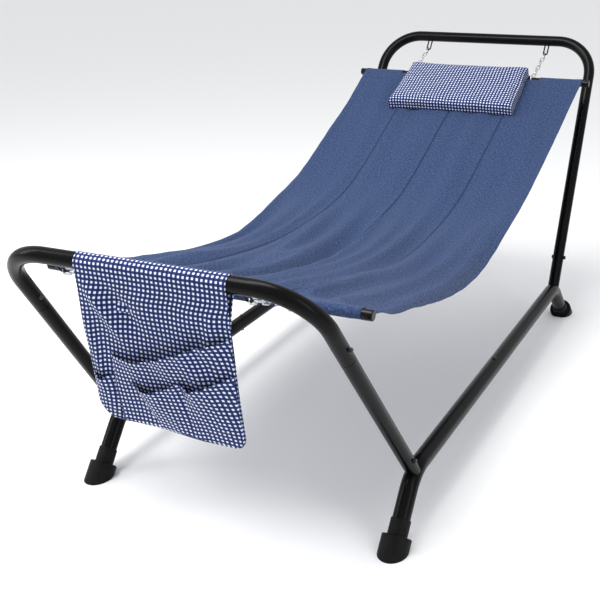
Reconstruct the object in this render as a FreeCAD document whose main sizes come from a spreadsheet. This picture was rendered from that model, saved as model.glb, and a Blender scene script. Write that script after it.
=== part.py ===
import FreeCAD, Part
import math
import os
import Sketcher

from FreeCAD import Placement, Rotation, Vector

# Hammock on a steel stand: two tube rails, a bow at each end, and a fabric bed hung on four chains.
#
# Frame: +Z up, +Y from the foot end to the head end, X across, floor at Z = 0, millimetres.
# The lengthwise positions in the sheet are measured from the rails' middle joint, and centre_shift
# moves them all so that the origin is the middle of the footprint.

document = FreeCAD.newDocument("hammock_stand")
sheet = document.addObject("Spreadsheet::Sheet", "Dimensions")

DIMENSIONS = [
    # tubes
    ("rail_diameter", 38.0), ("rail_wall", 1.6), ("rail_half_spacing", 364.0), ("rail_height", 131.5),
    ("bow_diameter", 32.0), ("bow_wall", 1.5), ("spigot_play", 0.2), ("spigot_length", 60.0),
    # stand, lengthwise from the rails' middle joint
    ("centre_shift", -15.0), ("front_corner", -601.0), ("rear_corner", 590.5),
    ("front_foot", -709.5), ("rear_foot", 739.0), ("foot_bend_radius", 90.0),
    ("tube_end_gap", 28.0), ("seam_gap", 1.4), ("weld_depth", 1.0),
    ("foot_bar_place", -990.5), ("foot_bar_height", 645.0), ("foot_bar_half_width", 323.5),
    ("head_bar_place", 1034.0), ("head_bar_height", 799.5), ("head_bar_half_width", 341.5),
    ("bow_bend_radius", 115.0), ("foot_bow_leg", 196.0), ("head_stub", 65.0),
    # feet
    ("collar_diameter", 42.6), ("collar_length", 36.0), ("cup_diameter", 63.0), ("cup_length", 33.0),
    # fasteners
    ("bolt_diameter", 6.0), ("bolt_head", 12.0), ("bolt_dome", 3.4), ("nut_width", 10.0), ("nut_height", 5.0),
    # hanging hardware
    ("hanger_spacing", 196.0), ("eye_wire", 4.2), ("eye_width", 16.0), ("eye_reach", 35.7),
    ("eye_angle", 52.0),
    ("chain_wire", 3.0), ("link_inner_length", 24.8), ("link_inner_width", 7.0), ("link_count", 6.0),
    ("head_chain_angle", 21.5), ("foot_chain_angle", 20.3),
    ("ring_wire", 3.5), ("ring_inner", 26.0), ("spreader_diameter", 19.0), ("spreader_wall", 1.2),
    ("head_spreader_half", 372.0), ("foot_spreader_half", 359.0),
    ("cap_diameter", 21.0), ("cap_length", 22.0), ("cap_end", 3.0),
    # fabric
    ("cloth", 2.0), ("sleeve_play", 0.3), ("bed_half_width", 344.0), ("bed_foot_half", 336.0),
    ("notch_width", 46.0), ("notch_depth", 19.0),
    ("pillow_width", 386.0), ("pillow_depth", 205.0), ("pillow_thickness", 26.0), ("pillow_round", 9.0),
    ("strap_width", 14.0), ("strap_place", 183.5),
    ("caddy_centre", 20.0), ("caddy_width", 312.0), ("caddy_drop", 320.0), ("caddy_join", 84.0),
    ("pocket_split", -86.0), ("main_mouth", 99.0), ("main_low", 176.0),
    ("front_mouth", 169.0), ("front_low", 226.0), ("side_mouth", 220.0),
    ("main_depth", 26.0), ("front_depth", 15.0), ("side_depth", 14.0),
]

for row, (alias, number) in enumerate(DIMENSIONS, start=1):
    sheet.set(f"A{row}", alias)
    sheet.set(f"B{row}", str(number))
    sheet.setAlias(f"B{row}", alias)
document.recompute()


def size(alias):
    """The value of one cell of the sheet."""
    return float(sheet.get(alias))


def bind(item, prop, expression):
    """Bind a property to the sheet: every word of the expression that is an alias becomes a reference."""
    for alias, _ in sorted(DIMENSIONS, key=lambda pair: -len(pair[0])):
        expression = expression.replace(f"<{alias}>", f"Dimensions.{alias}")
    item.setExpression(prop, expression)


SHIFT = size("centre_shift")
SIDES = (("left", -1), ("right", 1))


def place(x, y, z):
    """A point of the stand, with its lengthwise position measured from the rails' middle joint."""
    return Vector(x, y + SHIFT, z)


# ---------------------------------------------------------------- building blocks

def new_body(name):
    body = document.addObject("PartDesign::Body", name)
    body.Label = name
    return body


def new_sketch(body, name, role, offset=None):
    """A sketch on one of the body's own origin planes, moved by an attachment offset where given."""
    sketch = body.newObject("Sketcher::SketchObject", name)
    plane = next(item for item in body.Origin.OriginFeatures if item.Role == role)
    sketch.AttachmentSupport = [(plane, "")]
    sketch.MapMode = "FlatFace"
    if offset is not None:
        sketch.AttachmentOffset = offset
    return sketch


def add_circle(sketch, diameter, label, centre=(0.0, 0.0)):
    """A circle whose radius follows an expression in the sheet's aliases."""
    index = sketch.addGeometry(Part.Circle(Vector(centre[0], centre[1], 0), Vector(0, 0, 1), 5.0))
    row = sketch.addConstraint(Sketcher.Constraint("Radius", index, 5.0))
    sketch.renameConstraint(row, label)
    bind(sketch, f"Constraints.{label}", f"({diameter}) / 2")
    if centre == (0.0, 0.0):
        sketch.addConstraint(Sketcher.Constraint("Coincident", index, 3, -1, 1))
    return index


def add_polygon(sketch, points):
    """A closed outline of straight edges."""
    first = None
    for number, point in enumerate(points):
        nxt = points[(number + 1) % len(points)]
        index = sketch.addGeometry(Part.LineSegment(Vector(*point, 0), Vector(*nxt, 0)))
        if first is None:
            first = index
        else:
            sketch.addConstraint(Sketcher.Constraint("Coincident", index - 1, 2, index, 1))
    sketch.addConstraint(Sketcher.Constraint("Coincident", index, 2, first, 1))


def add_pad(body, sketch, length, symmetric=False, reverse=False):
    pad = body.newObject("PartDesign::Pad", f"{sketch.Name}_pad")
    pad.Profile = sketch
    bind(pad, "Length", length)
    pad.Midplane = symmetric
    pad.Reversed = reverse
    sketch.Visibility = False
    return pad


def add_pocket(body, sketch, length):
    """A cut centred on its sketch plane."""
    pocket = body.newObject("PartDesign::Pocket", f"{sketch.Name}_pocket")
    pocket.Profile = sketch
    bind(pocket, "Length", length)
    pocket.Midplane = True
    return pocket


def bent_path(sketch, start, straight, turn, radius_alias, tail):
    """A line, a tangent arc that turns by `turn` degrees (clockwise when negative), and a line.

    The first line leaves `start` along the sketch's x axis, forwards or backwards by the sign of straight.
    """
    way = math.copysign(1.0, straight)
    radius = size(radius_alias)
    bend_start = Vector(start[0] + straight, start[1], 0)
    side = -1.0
    centre = bend_start + Vector(0, side * radius, 0)
    angle = math.radians(turn)
    leave = Vector(way * math.cos(angle), -math.sin(angle), 0)
    bend_end = centre + Vector(way * radius * math.sin(angle), radius * math.cos(angle), 0)
    sketch.addGeometry(Part.LineSegment(Vector(start[0], start[1], 0), bend_start))
    circle = Part.Circle(centre, Vector(0, 0, 1), radius)
    quarter = math.pi / 2
    if way > 0:
        sketch.addGeometry(Part.ArcOfCircle(circle, quarter - angle, quarter))
        near, far = 2, 1
    else:
        sketch.addGeometry(Part.ArcOfCircle(circle, quarter, quarter + angle))
        near, far = 1, 2
    sketch.addGeometry(Part.LineSegment(bend_end, bend_end + leave * tail))
    sketch.addConstraint(Sketcher.Constraint("Horizontal", 0))
    sketch.addConstraint(Sketcher.Constraint("Tangent", 0, 2, 1, near))
    sketch.addConstraint(Sketcher.Constraint("Tangent", 1, far, 2, 1))
    row = sketch.addConstraint(Sketcher.Constraint("Radius", 1, radius))
    sketch.renameConstraint(row, "bend")
    bind(sketch, "Constraints.bend", f"<{radius_alias}>")


def add_pipe(body, profile, path):
    pipe = body.newObject("PartDesign::AdditivePipe", f"{path.Name}_pipe")
    pipe.Profile = profile
    pipe.Spine = (path, [f"Edge{number + 1}" for number in range(path.GeometryCount)])
    pipe.Mode = "Frenet"
    profile.Visibility = False
    path.Visibility = False
    return pipe


def tangent_length(turn_degrees, radius_alias):
    return size(radius_alias) * math.tan(math.radians(turn_degrees) / 2)


# ---------------------------------------------------------------- the stand's lines

class Leg:
    """The line of a bow's leg, from its corner at the rail to its corner at the bow's bar."""

    def __init__(self, corner, bar, bar_height, bar_half):
        self.run = Vector(0, bar - corner, bar_height - size("rail_height"))
        self.tilt = math.degrees(math.atan2(-self.run.y, self.run.z))
        self.lean = math.degrees(math.atan2(size("rail_half_spacing") - bar_half, self.run.Length))
        self.length = math.hypot(self.run.Length, size("rail_half_spacing") - bar_half)
        self.corner = corner

    def placement(self, side):
        """Local +Z runs up the leg from the rail, and local Y stays square to the bow's plane."""
        turn = Rotation(Vector(1, 0, 0), self.tilt) * Rotation(Vector(0, 1, 0), -side * self.lean)
        foot = place(side * size("rail_half_spacing"), self.corner, size("rail_height"))
        return Placement(foot, turn)


foot_leg_line = Leg(size("front_corner"), size("foot_bar_place"), size("foot_bar_height"),
                    size("foot_bar_half_width"))
head_leg_line = Leg(size("rear_corner"), size("head_bar_place"), size("head_bar_height"),
                    size("head_bar_half_width"))
leg_seam = foot_leg_line.length - size("foot_bow_leg")
TUBE_BORE = "<bow_diameter> - 2 * <bow_wall>"
SPIGOT = "<bow_diameter> - 2 * <bow_wall> - 2 * <spigot_play>"
BOLT_HOLE = "<bolt_diameter> + 0.4"


def build_bow(name, line, bar_half_width, leg_length, bolt_up):
    """A U of bent tube: half is swept from the bar's middle and mirrored."""
    body = new_body(name)
    turn = 90.0 - line.lean
    profile = new_sketch(body, f"{name}_section", "YZ_Plane")
    add_circle(profile, "<bow_diameter>", "outside")
    add_circle(profile, TUBE_BORE, "bore")
    path = new_sketch(body, f"{name}_line", "XZ_Plane")
    back = tangent_length(turn, "bow_bend_radius")
    bent_path(path, (0.0, 0.0), bar_half_width - back, turn, "bow_bend_radius", leg_length - back)
    pipe = add_pipe(body, profile, path)
    splay = math.radians(line.lean)
    bolt_down = leg_length - bolt_up
    hole_at = Vector(bar_half_width + bolt_down * math.sin(splay), 0, -bolt_down * math.cos(splay))
    holes = new_sketch(body, f"{name}_bolt_hole", "XY_Plane",
                       Placement(hole_at, Rotation(Vector(0, 1, 0), 90 - line.lean)))
    add_circle(holes, BOLT_HOLE, "hole")
    pocket = add_pocket(body, holes, "<bow_diameter> + 10")
    mirror = body.newObject("PartDesign::Mirrored", f"{name}_mirror")
    mirror.Originals = [pipe, pocket]
    mirror.MirrorPlane = (next(item for item in body.Origin.OriginFeatures if item.Role == "YZ_Plane"), [""])
    body.Tip = mirror
    return body


BOLT_UP = 33.0
foot_bow = build_bow("foot_bow", foot_leg_line, size("foot_bar_half_width"), size("foot_bow_leg"), BOLT_UP)
foot_bow.Placement = Placement(place(0, size("foot_bar_place"), size("foot_bar_height")),
                               Rotation(Vector(1, 0, 0), foot_leg_line.tilt))
head_bow = build_bow("head_bow", head_leg_line, size("head_bar_half_width"),
                     head_leg_line.length - size("head_stub"), BOLT_UP)
head_bow.Placement = Placement(place(0, size("head_bar_place"), size("head_bar_height")),
                               Rotation(Vector(1, 0, 0), head_leg_line.tilt))

# ---------------------------------------------------------------- rails, legs and feet


def build_rail(name, side, corner, foot, line, stub):
    """Half of a floor rail: straight tube, bend, foot, and the welded spigot or stub for the bow's leg."""
    body = new_body(name)
    reach = abs(corner)
    way = math.copysign(1.0, corner)
    drop = math.degrees(math.atan2(size("rail_height"), abs(foot - corner)))
    profile = new_sketch(body, f"{name}_section", "XZ_Plane")
    add_circle(profile, "<rail_diameter>", "outside")
    add_circle(profile, "<rail_diameter> - 2 * <rail_wall>", "bore")
    path = new_sketch(body, f"{name}_line", "YZ_Plane")
    back = tangent_length(drop, "foot_bend_radius")
    foot_length = math.hypot(size("rail_height"), foot - corner) - size("tube_end_gap")
    seam = way * size("seam_gap") / 2
    bent_path(path, (seam, 0.0), way * (reach - back) - seam, drop, "foot_bend_radius", foot_length - back)
    add_pipe(body, profile, path)

    turn = Rotation(Vector(1, 0, 0), line.tilt) * Rotation(Vector(0, 1, 0), -side * line.lean)
    start = turn.multVec(Vector(0, 0, -size("weld_depth")))
    base = Placement(Vector(0, corner, 0) + start, turn)
    if stub:
        post = new_sketch(body, f"{name}_stub", "XY_Plane", base)
        add_circle(post, "<bow_diameter>", "outside")
        add_circle(post, TUBE_BORE, "bore")
        add_pad(body, post, "<head_stub> + <weld_depth>")
    spigot = new_sketch(body, f"{name}_spigot", "XY_Plane", base)
    add_circle(spigot, SPIGOT if not stub else TUBE_BORE + " + 0.2", "outside")
    add_circle(spigot, TUBE_BORE + " - 4", "bore")
    if stub:
        add_pad(body, spigot, "<head_stub> + <weld_depth>")
        upper = Placement(Vector(0, corner, 0) + turn.multVec(Vector(0, 0, size("head_stub") - 4)), turn)
        tip = new_sketch(body, f"{name}_tip", "XY_Plane", upper)
        add_circle(tip, SPIGOT, "outside")
        add_circle(tip, TUBE_BORE + " - 4", "bore")
        add_pad(body, tip, "<spigot_length> + 4")
        bolt_height = size("head_stub") + BOLT_UP
    else:
        add_pad(body, spigot, "<spigot_length>")
        bolt_height = FRONT_BOLT
    across = turn * Rotation(Vector(0, 1, 0), 90)
    bolt_plane = Placement(Vector(0, corner, 0) + turn.multVec(Vector(0, 0, bolt_height)), across)
    holes = new_sketch(body, f"{name}_leg_hole", "XY_Plane", bolt_plane)
    add_circle(holes, BOLT_HOLE, "hole")
    add_pocket(body, holes, "<bow_diameter> + 10")
    if way > 0:
        inner = new_sketch(body, f"{name}_swage", "XZ_Plane", Placement(Vector(0, 0, -3), Rotation()))
        add_circle(inner, "<rail_diameter> - 2 * <rail_wall> - 2 * <spigot_play>", "outside")
        add_circle(inner, "<rail_diameter> - 4 * <rail_wall>", "bore")
        add_pad(body, inner, "<spigot_length> + 3")
        neck = new_sketch(body, f"{name}_neck", "XZ_Plane", Placement(Vector(0, 0, -3), Rotation()))
        add_circle(neck, "<rail_diameter> - 1", "outside")
        add_circle(neck, "<rail_diameter> - 4 * <rail_wall>", "bore")
        add_pad(body, neck, "3", reverse=True)
    rail_hole = new_sketch(body, f"{name}_rail_hole", "XY_Plane", Placement(Vector(0, -RAIL_BOLT, 0), Rotation()))
    add_circle(rail_hole, BOLT_HOLE, "hole")
    add_pocket(body, rail_hole, "<rail_diameter> + 10")
    body.Placement = Placement(place(side * size("rail_half_spacing"), 0, size("rail_height")), Rotation())
    return body


FRONT_BOLT = 52.0
RAIL_BOLT = 22.0

rails = {}
for word, side in SIDES:
    rails["front", side] = build_rail(f"rail_front_{word}", side, size("front_corner"), size("front_foot"),
                                      foot_leg_line, stub=False)
    rails["rear", side] = build_rail(f"rail_rear_{word}", side, size("rear_corner"), size("rear_foot"),
                                     head_leg_line, stub=True)


def build_foot_leg(name, side):
    """The straight tube between a rail and the foot bow, cut to saddle the rail's bend."""
    tube = new_body(f"{name}_tube")
    ring = new_sketch(tube, f"{name}_section", "XY_Plane", Placement(Vector(0, 0, -2), Rotation()))
    add_circle(ring, "<bow_diameter>", "outside")
    add_circle(ring, TUBE_BORE, "bore")
    add_pad(tube, ring, f"{leg_seam + 2} - <seam_gap>")
    for label, height in (("foot", FRONT_BOLT), ("seam", leg_seam + BOLT_UP)):
        holes = new_sketch(tube, f"{name}_{label}_hole", "YZ_Plane")
        add_circle(holes, BOLT_HOLE, "hole", (0.0, height))
        if label == "seam":
            inner = new_sketch(tube, f"{name}_spigot", "XY_Plane",
                               Placement(Vector(0, 0, leg_seam - 3), Rotation()))
            add_circle(inner, SPIGOT, "outside")
            add_circle(inner, TUBE_BORE + " - 4", "bore")
            add_pad(tube, inner, "<spigot_length> + 3")
            neck = new_sketch(tube, f"{name}_neck", "XY_Plane", Placement(Vector(0, 0, leg_seam - 3), Rotation()))
            add_circle(neck, "<bow_diameter> - 1", "outside")
            add_circle(neck, TUBE_BORE + " - 4", "bore")
            add_pad(tube, neck, "3", reverse=True)
        add_pocket(tube, holes, "<bow_diameter> + 10")
    tube.Placement = foot_leg_line.placement(side)
    return tube


def filled_bend(name, side):
    """The outside of a front rail as a filled rod, which trims the leg that stands on it."""
    body = new_body(name)
    drop = math.degrees(math.atan2(size("rail_height"), abs(size("front_foot") - size("front_corner"))))
    profile = new_sketch(body, f"{name}_section", "XZ_Plane")
    add_circle(profile, "<rail_diameter> + 0.2", "outside")
    path = new_sketch(body, f"{name}_line", "YZ_Plane")
    back = tangent_length(drop, "foot_bend_radius")
    bent_path(path, (0.0, 0.0), size("front_corner") + back, drop, "foot_bend_radius", 100.0)
    add_pipe(body, profile, path)
    body.Placement = Placement(place(side * size("rail_half_spacing"), 0, size("rail_height")), Rotation())
    return body


kept = [foot_bow, head_bow] + list(rails.values())
for word, side in SIDES:
    leg = document.addObject("Part::Cut", f"foot_leg_{word}")
    leg.Label = f"foot_leg_{word}"
    leg.Base = build_foot_leg(f"leg_{word}", side)
    leg.Tool = filled_bend(f"rail_rod_{word}", side)
    kept.append(leg)


def build_foot_cap(name, side, corner, foot):
    """A moulded foot: a collar gripping the tube, a wider cup, and a sole cut flat on the floor."""
    body = new_body(name)
    angle = math.atan2(size("rail_height"), abs(foot - corner))
    way = math.copysign(1.0, foot)
    grip = size("rail_diameter") / 2 + 0.1
    collar, cup = size("collar_diameter") / 2, size("cup_diameter") / 2
    shoulder, top = size("cup_length"), size("cup_length") + size("collar_length")
    outline = [(0, -45), (cup, -45), (cup, shoulder - 1.5), (cup - 1.5, shoulder), (collar + 1.2, shoulder),
               (collar, shoulder + 1.2), (collar, top - 1.2), (collar - 1.2, top), (grip, top),
               (grip, size("tube_end_gap") - 1), (0, size("tube_end_gap") - 1)]
    section = new_sketch(body, f"{name}_section", "XZ_Plane")
    add_polygon(section, outline)
    turned = body.newObject("PartDesign::Revolution", f"{name}_turned")
    turned.Profile = section
    turned.ReferenceAxis = (section, ["V_Axis"])
    turned.Angle = 360.0
    sole = new_sketch(body, f"{name}_sole", "YZ_Plane")
    slope = way * (math.pi / 2 - angle)
    along = Vector(math.cos(slope), -math.sin(slope), 0)
    below = Vector(-math.sin(slope), -math.cos(slope), 0)
    corners = [along * -120, along * 120, along * 120 + below * 120, along * -120 + below * 120]
    add_polygon(sole, [(point.x, point.y) for point in corners])
    add_pocket(body, sole, "2 * <cup_diameter>")
    lean = way * (90 - math.degrees(angle))
    body.Placement = Placement(place(side * size("rail_half_spacing"), foot, 0), Rotation(Vector(1, 0, 0), lean))
    return body


for word, side in SIDES:
    kept.append(build_foot_cap(f"foot_cap_front_{word}", side, size("front_corner"), size("front_foot")))
    kept.append(build_foot_cap(f"foot_cap_rear_{word}", side, size("rear_corner"), size("rear_foot")))

# ---------------------------------------------------------------- bolts and nuts


def build_bolt(name, grip):
    """A dome-headed bolt on local +Z, its head seated at Z = 0."""
    body = new_body(name)
    head, shank, dome = size("bolt_head") / 2, size("bolt_diameter") / 2, size("bolt_dome")
    tail = -(grip + size("nut_height") + 0.8)
    section = new_sketch(body, f"{name}_section", "XZ_Plane")
    add_polygon(section, [(0, tail), (shank, tail), (shank, 0), (head, 0), (head, dome * 0.35),
                          (head * 0.8, dome * 0.8), (head * 0.4, dome), (0, dome)])
    turned = body.newObject("PartDesign::Revolution", f"{name}_turned")
    turned.Profile = section
    turned.ReferenceAxis = (section, ["V_Axis"])
    turned.Angle = 360.0
    return body


def build_nut(name):
    """A hexagon nut on local Z, from its seat at Z = 0 downwards."""
    body = new_body(name)
    section = new_sketch(body, f"{name}_section", "XY_Plane")
    corner = size("nut_width") / 2 / math.cos(math.pi / 6)
    add_polygon(section, [(corner * math.cos(math.pi / 3 * step), corner * math.sin(math.pi / 3 * step))
                          for step in range(6)])
    add_circle(section, "<bolt_diameter> + 0.1", "thread")
    add_pad(body, section, "<nut_height>", reverse=True)
    return body


bow_grip, rail_grip = size("bow_diameter"), size("rail_diameter")
bow_bolt, rail_bolt, nut = build_bolt("bow_bolt", bow_grip), build_bolt("rail_bolt", rail_grip), build_nut("nut")
document.recompute()

bow_bolt_places = []
rail_bolt_places = []
for _, side in SIDES:
    for line, height in ((foot_leg_line, FRONT_BOLT), (foot_leg_line, leg_seam + BOLT_UP),
                         (head_leg_line, size("head_stub") + BOLT_UP)):
        leg_frame = line.placement(side)
        seat = leg_frame.multVec(Vector(-side * bow_grip / 2, 0, height))
        head_facing_in = Rotation(Vector(0, 1, 0), -side * 90)
        bow_bolt_places.append(Placement(seat, leg_frame.Rotation * head_facing_in))
    seat = place(side * size("rail_half_spacing"), -RAIL_BOLT, size("rail_height") + rail_grip / 2)
    rail_bolt_places.append(Placement(seat, Rotation()))


def build_group(name, shape, places, down=0.0):
    """Several like pieces as one sub-part of separate solids, each moved down its own axis."""
    copies = []
    for spot in places:
        copy = shape.copy()
        copy.Placement = spot * Placement(Vector(0, 0, -down), Rotation())
        copies.append(copy)
    group = document.addObject("Part::Feature", name)
    group.Label = name
    group.Shape = Part.makeCompound(copies)
    return group


kept.append(build_group("bow_bolts", bow_bolt.Shape, bow_bolt_places))
kept.append(build_group("rail_bolts", rail_bolt.Shape, rail_bolt_places))
kept.append(build_group("bow_nuts", nut.Shape, bow_bolt_places, bow_grip))
kept.append(build_group("rail_nuts", nut.Shape, rail_bolt_places, rail_grip))

# ---------------------------------------------------------------- hanger eyes, chains and rings


def build_eye(name, x, bar, bar_height, way):
    """A U of round wire welded under a bow's bar: local -Z leaves the bar towards the bed."""
    body = new_body(name)
    half = (size("eye_width") - size("eye_wire")) / 2
    root = size("bow_diameter") / 2
    reach = root + size("eye_reach") - size("eye_wire") / 2
    profile = new_sketch(body, f"{name}_section", "XY_Plane", Placement(Vector(-half, 0, -root), Rotation()))
    add_circle(profile, "<eye_wire>", "wire")
    path = new_sketch(body, f"{name}_line", "XZ_Plane")
    path.addGeometry(Part.LineSegment(Vector(-half, -root, 0), Vector(-half, -(reach - half), 0)))
    bottom = Part.Circle(Vector(0, -(reach - half), 0), Vector(0, 0, 1), half)
    path.addGeometry(Part.ArcOfCircle(bottom, math.pi, 2 * math.pi))
    path.addGeometry(Part.LineSegment(Vector(half, -(reach - half), 0), Vector(half, -root, 0)))
    add_pipe(body, profile, path)
    aim = way * (90 - size("eye_angle"))
    body.Placement = Placement(place(x, bar, bar_height), Rotation(Vector(1, 0, 0), aim))
    return body


def eye_seat(bar, bar_height, way):
    """Where a chain's first link bears inside its eye."""
    reach = size("bow_diameter") / 2 + size("eye_reach") - size("eye_wire")
    angle = math.radians(size("eye_angle"))
    return Vector(0, bar + way * reach * math.cos(angle), bar_height - reach * math.sin(angle))


def oval_link(inner_length, inner_width, wire):
    """One closed link in the local XZ plane, with the inside of its near end at the origin, along +X."""
    radius = (inner_width + wire) / 2
    near = inner_width / 2
    far = inner_length - near
    left = Part.Arc(Vector(near, 0, -radius), Vector(near - radius, 0, 0), Vector(near, 0, radius))
    right = Part.Arc(Vector(far, 0, radius), Vector(far + radius, 0, 0), Vector(far, 0, -radius))
    back = Part.LineSegment(Vector(far, 0, -radius), Vector(near, 0, -radius))
    section = Part.Wire([Part.makeCircle(wire / 2, Vector((near + far) / 2, 0, radius), Vector(1, 0, 0))])
    spine = Part.Wire([Part.LineSegment(Vector((near + far) / 2, 0, radius), Vector(far, 0, radius)).toShape(),
                       right.toShape(), back.toShape(), left.toShape(),
                       Part.LineSegment(Vector(near, 0, radius), Vector((near + far) / 2, 0, radius)).toShape()])
    return spine.makePipeShell([section], True, False)


LINK_SLACK = 0.3
EYE_SLACK = 1.65
RING_SLACK = 1.3


def build_chain(name, x, seat, heading):
    """A chain of welded links from an eye to its ring; every other link is turned a quarter."""
    step = size("link_inner_length")
    wire = size("chain_wire")
    count = int(size("link_count"))
    links = []
    for number in range(count):
        before = EYE_SLACK if number == 0 else 0.0
        length = step + LINK_SLACK + before + (RING_SLACK if number == count - 1 else 0.0)
        link = oval_link(length, size("link_inner_width"), wire)
        link.rotate(Vector(0, 0, 0), Vector(1, 0, 0), 0 if number % 2 == 0 else 90)
        link.translate(Vector(number * step - before, 0, 0))
        links.append(link)
    chain = document.addObject("Part::Feature", name)
    chain.Label = name
    chain.Shape = Part.makeCompound(links)
    chain.Placement = Placement(Vector(x, seat.y + SHIFT, seat.z), heading)
    return chain


def chain_end(seat, way, angle):
    """The spreader's axis, at the end of the chain and its ring."""
    ring_lead = size("ring_inner") - size("spreader_diameter") / 2 - 0.3
    reach = size("link_count") * size("link_inner_length") + ring_lead
    slope = math.radians(angle)
    return Vector(0, seat.y + way * reach * math.cos(slope), seat.z - reach * math.sin(slope))


ENDS = {}
for end, way, angle in (("head", -1, size("head_chain_angle")), ("foot", 1, size("foot_chain_angle"))):
    bar, bar_height = size(f"{end}_bar_place"), size(f"{end}_bar_height")
    seat = eye_seat(bar, bar_height, way)
    axis = chain_end(seat, way, angle)
    slope = math.radians(angle)
    along = Vector(0, way * math.cos(slope), -math.sin(slope))
    ENDS[end] = {"seat": seat, "axis": axis, "along": along, "way": way}
    heading = Rotation(along, Vector(0, 0, 0), along.cross(Vector(1, 0, 0)) * -way, "XZY")
    ring_centre = axis - along * (size("ring_inner") / 2 - size("spreader_diameter") / 2 - 0.3)
    for word, side in SIDES:
        x = side * size("hanger_spacing")
        kept.append(build_eye(f"eye_{end}_{word}", x, bar, bar_height, way))
        kept.append(build_chain(f"chain_{end}_{word}", x, seat, heading))
        ring = document.addObject("Part::Torus", f"ring_{end}_{word}")
        ring.Label = f"ring_{end}_{word}"
        bind(ring, "Radius1", "(<ring_inner> + <ring_wire>) / 2")
        bind(ring, "Radius2", "<ring_wire> / 2")
        ring.Placement = Placement(place(x, ring_centre.y, ring_centre.z), Rotation(Vector(0, 1, 0), 90))
        kept.append(ring)

# ---------------------------------------------------------------- spreader bars


def build_spreader(end):
    axis = ENDS[end]["axis"]
    centre = place(0, axis.y, axis.z)
    tube = new_body(f"spreader_{end}")
    ring = new_sketch(tube, f"spreader_{end}_section", "YZ_Plane")
    add_circle(ring, "<spreader_diameter>", "outside")
    add_circle(ring, "<spreader_diameter> - 2 * <spreader_wall>", "bore")
    add_pad(tube, ring, f"2 * (<{end}_spreader_half> - <cap_end>)", symmetric=True)
    tube.Placement = Placement(centre, Rotation())
    kept.append(tube)
    for word, side in SIDES:
        cap = new_body(f"spreader_cap_{end}_{word}")
        section = new_sketch(cap, f"cap_{end}_{word}_section", "XZ_Plane")
        outside, bore = size("cap_diameter") / 2, size("spreader_diameter") / 2 + 0.05
        tip, start, face = 0.0, -size("cap_length"), -size("cap_end") + 0.05
        rounding = 1.8
        add_polygon(section, [(tip, 0), (tip, outside - rounding), (tip - 0.5, outside - 0.5),
                              (tip - rounding, outside), (start + 0.6, outside), (start, outside - 0.6),
                              (start, bore), (face, bore), (face, 0)])
        turned = cap.newObject("PartDesign::Revolution", f"cap_{end}_{word}_turned")
        turned.Profile = section
        turned.ReferenceAxis = (section, ["H_Axis"])
        turned.Angle = 360.0
        turn = Rotation() if side > 0 else Rotation(Vector(0, 0, 1), 180)
        half = size(f"{end}_spreader_half")
        cap.Placement = Placement(place(side * half, axis.y, axis.z), turn)
        kept.append(cap)


build_spreader("head")
build_spreader("foot")

# ---------------------------------------------------------------- fabric bed

cloth = size("cloth")
sleeve_inner = size("spreader_diameter") / 2 + size("sleeve_play")
head_axis, foot_axis = ENDS["head"]["axis"], ENDS["foot"]["axis"]
# the bed's middle line between its sleeves: lengthwise position, height of the top face, fall of the edges
bed_line = [(-600.0, 504.0, 9.0), (-400.0, 462.5, 24.0), (-190.0, 432.5, 24.0), (20.0, 435.5, 8.0),
            (220.0, 462.5, 2.0), (400.0, 523.5, 2.0), (600.0, 607.0, 2.0), (720.0, 652.5, 1.0)]
sleeve_outer = sleeve_inner + cloth
leave_bottom = math.acos(sleeve_inner / sleeve_outer)


def sleeve_points(axis, slope, way):
    """Where the top face, the far side and the bottom face meet a sleeve; way points from the bed to it."""
    along = Vector(0, way * math.cos(slope), math.sin(slope))
    normal = Vector(0, -way * math.sin(slope), math.cos(slope))
    centre = Vector(0, axis.y, axis.z)
    bottom = centre + (normal * math.cos(leave_bottom) - along * math.sin(leave_bottom)) * sleeve_outer
    return centre + normal * sleeve_outer, centre - normal * sleeve_outer, bottom


def bed_section(x):
    """The bed's outline in a plane across it: a top line, the head sleeve, a bottom line, the foot sleeve."""
    share = abs(x) / size("bed_half_width")
    head_top, head_far, head_low = sleeve_points(head_axis, math.radians(21.5), 1)
    foot_top, foot_far, foot_low = sleeve_points(foot_axis, math.radians(13.0), -1)
    lines = []
    for lift, start, finish in ((0.0, foot_top, head_top), (-cloth, foot_low, head_low)):
        points = [start] + [Vector(0, y, z + lift - fall * share ** 3) for y, z, fall in bed_line] + [finish]
        curve = Part.BSplineCurve()
        curve.interpolate([Vector(x, point.y + SHIFT, point.z) for point in points])
        lines.append(curve)
    top, bottom = lines
    bottom.reverse()

    def sleeve(start, far, finish):
        return Part.Arc(*(Vector(x, point.y + SHIFT, point.z) for point in (start, far, finish)))

    edges = [top.toShape(), sleeve(head_top, head_far, head_low).toShape(), bottom.toShape(),
             sleeve(foot_low, foot_far, foot_top).toShape()]
    return Part.Wire(edges)


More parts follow.
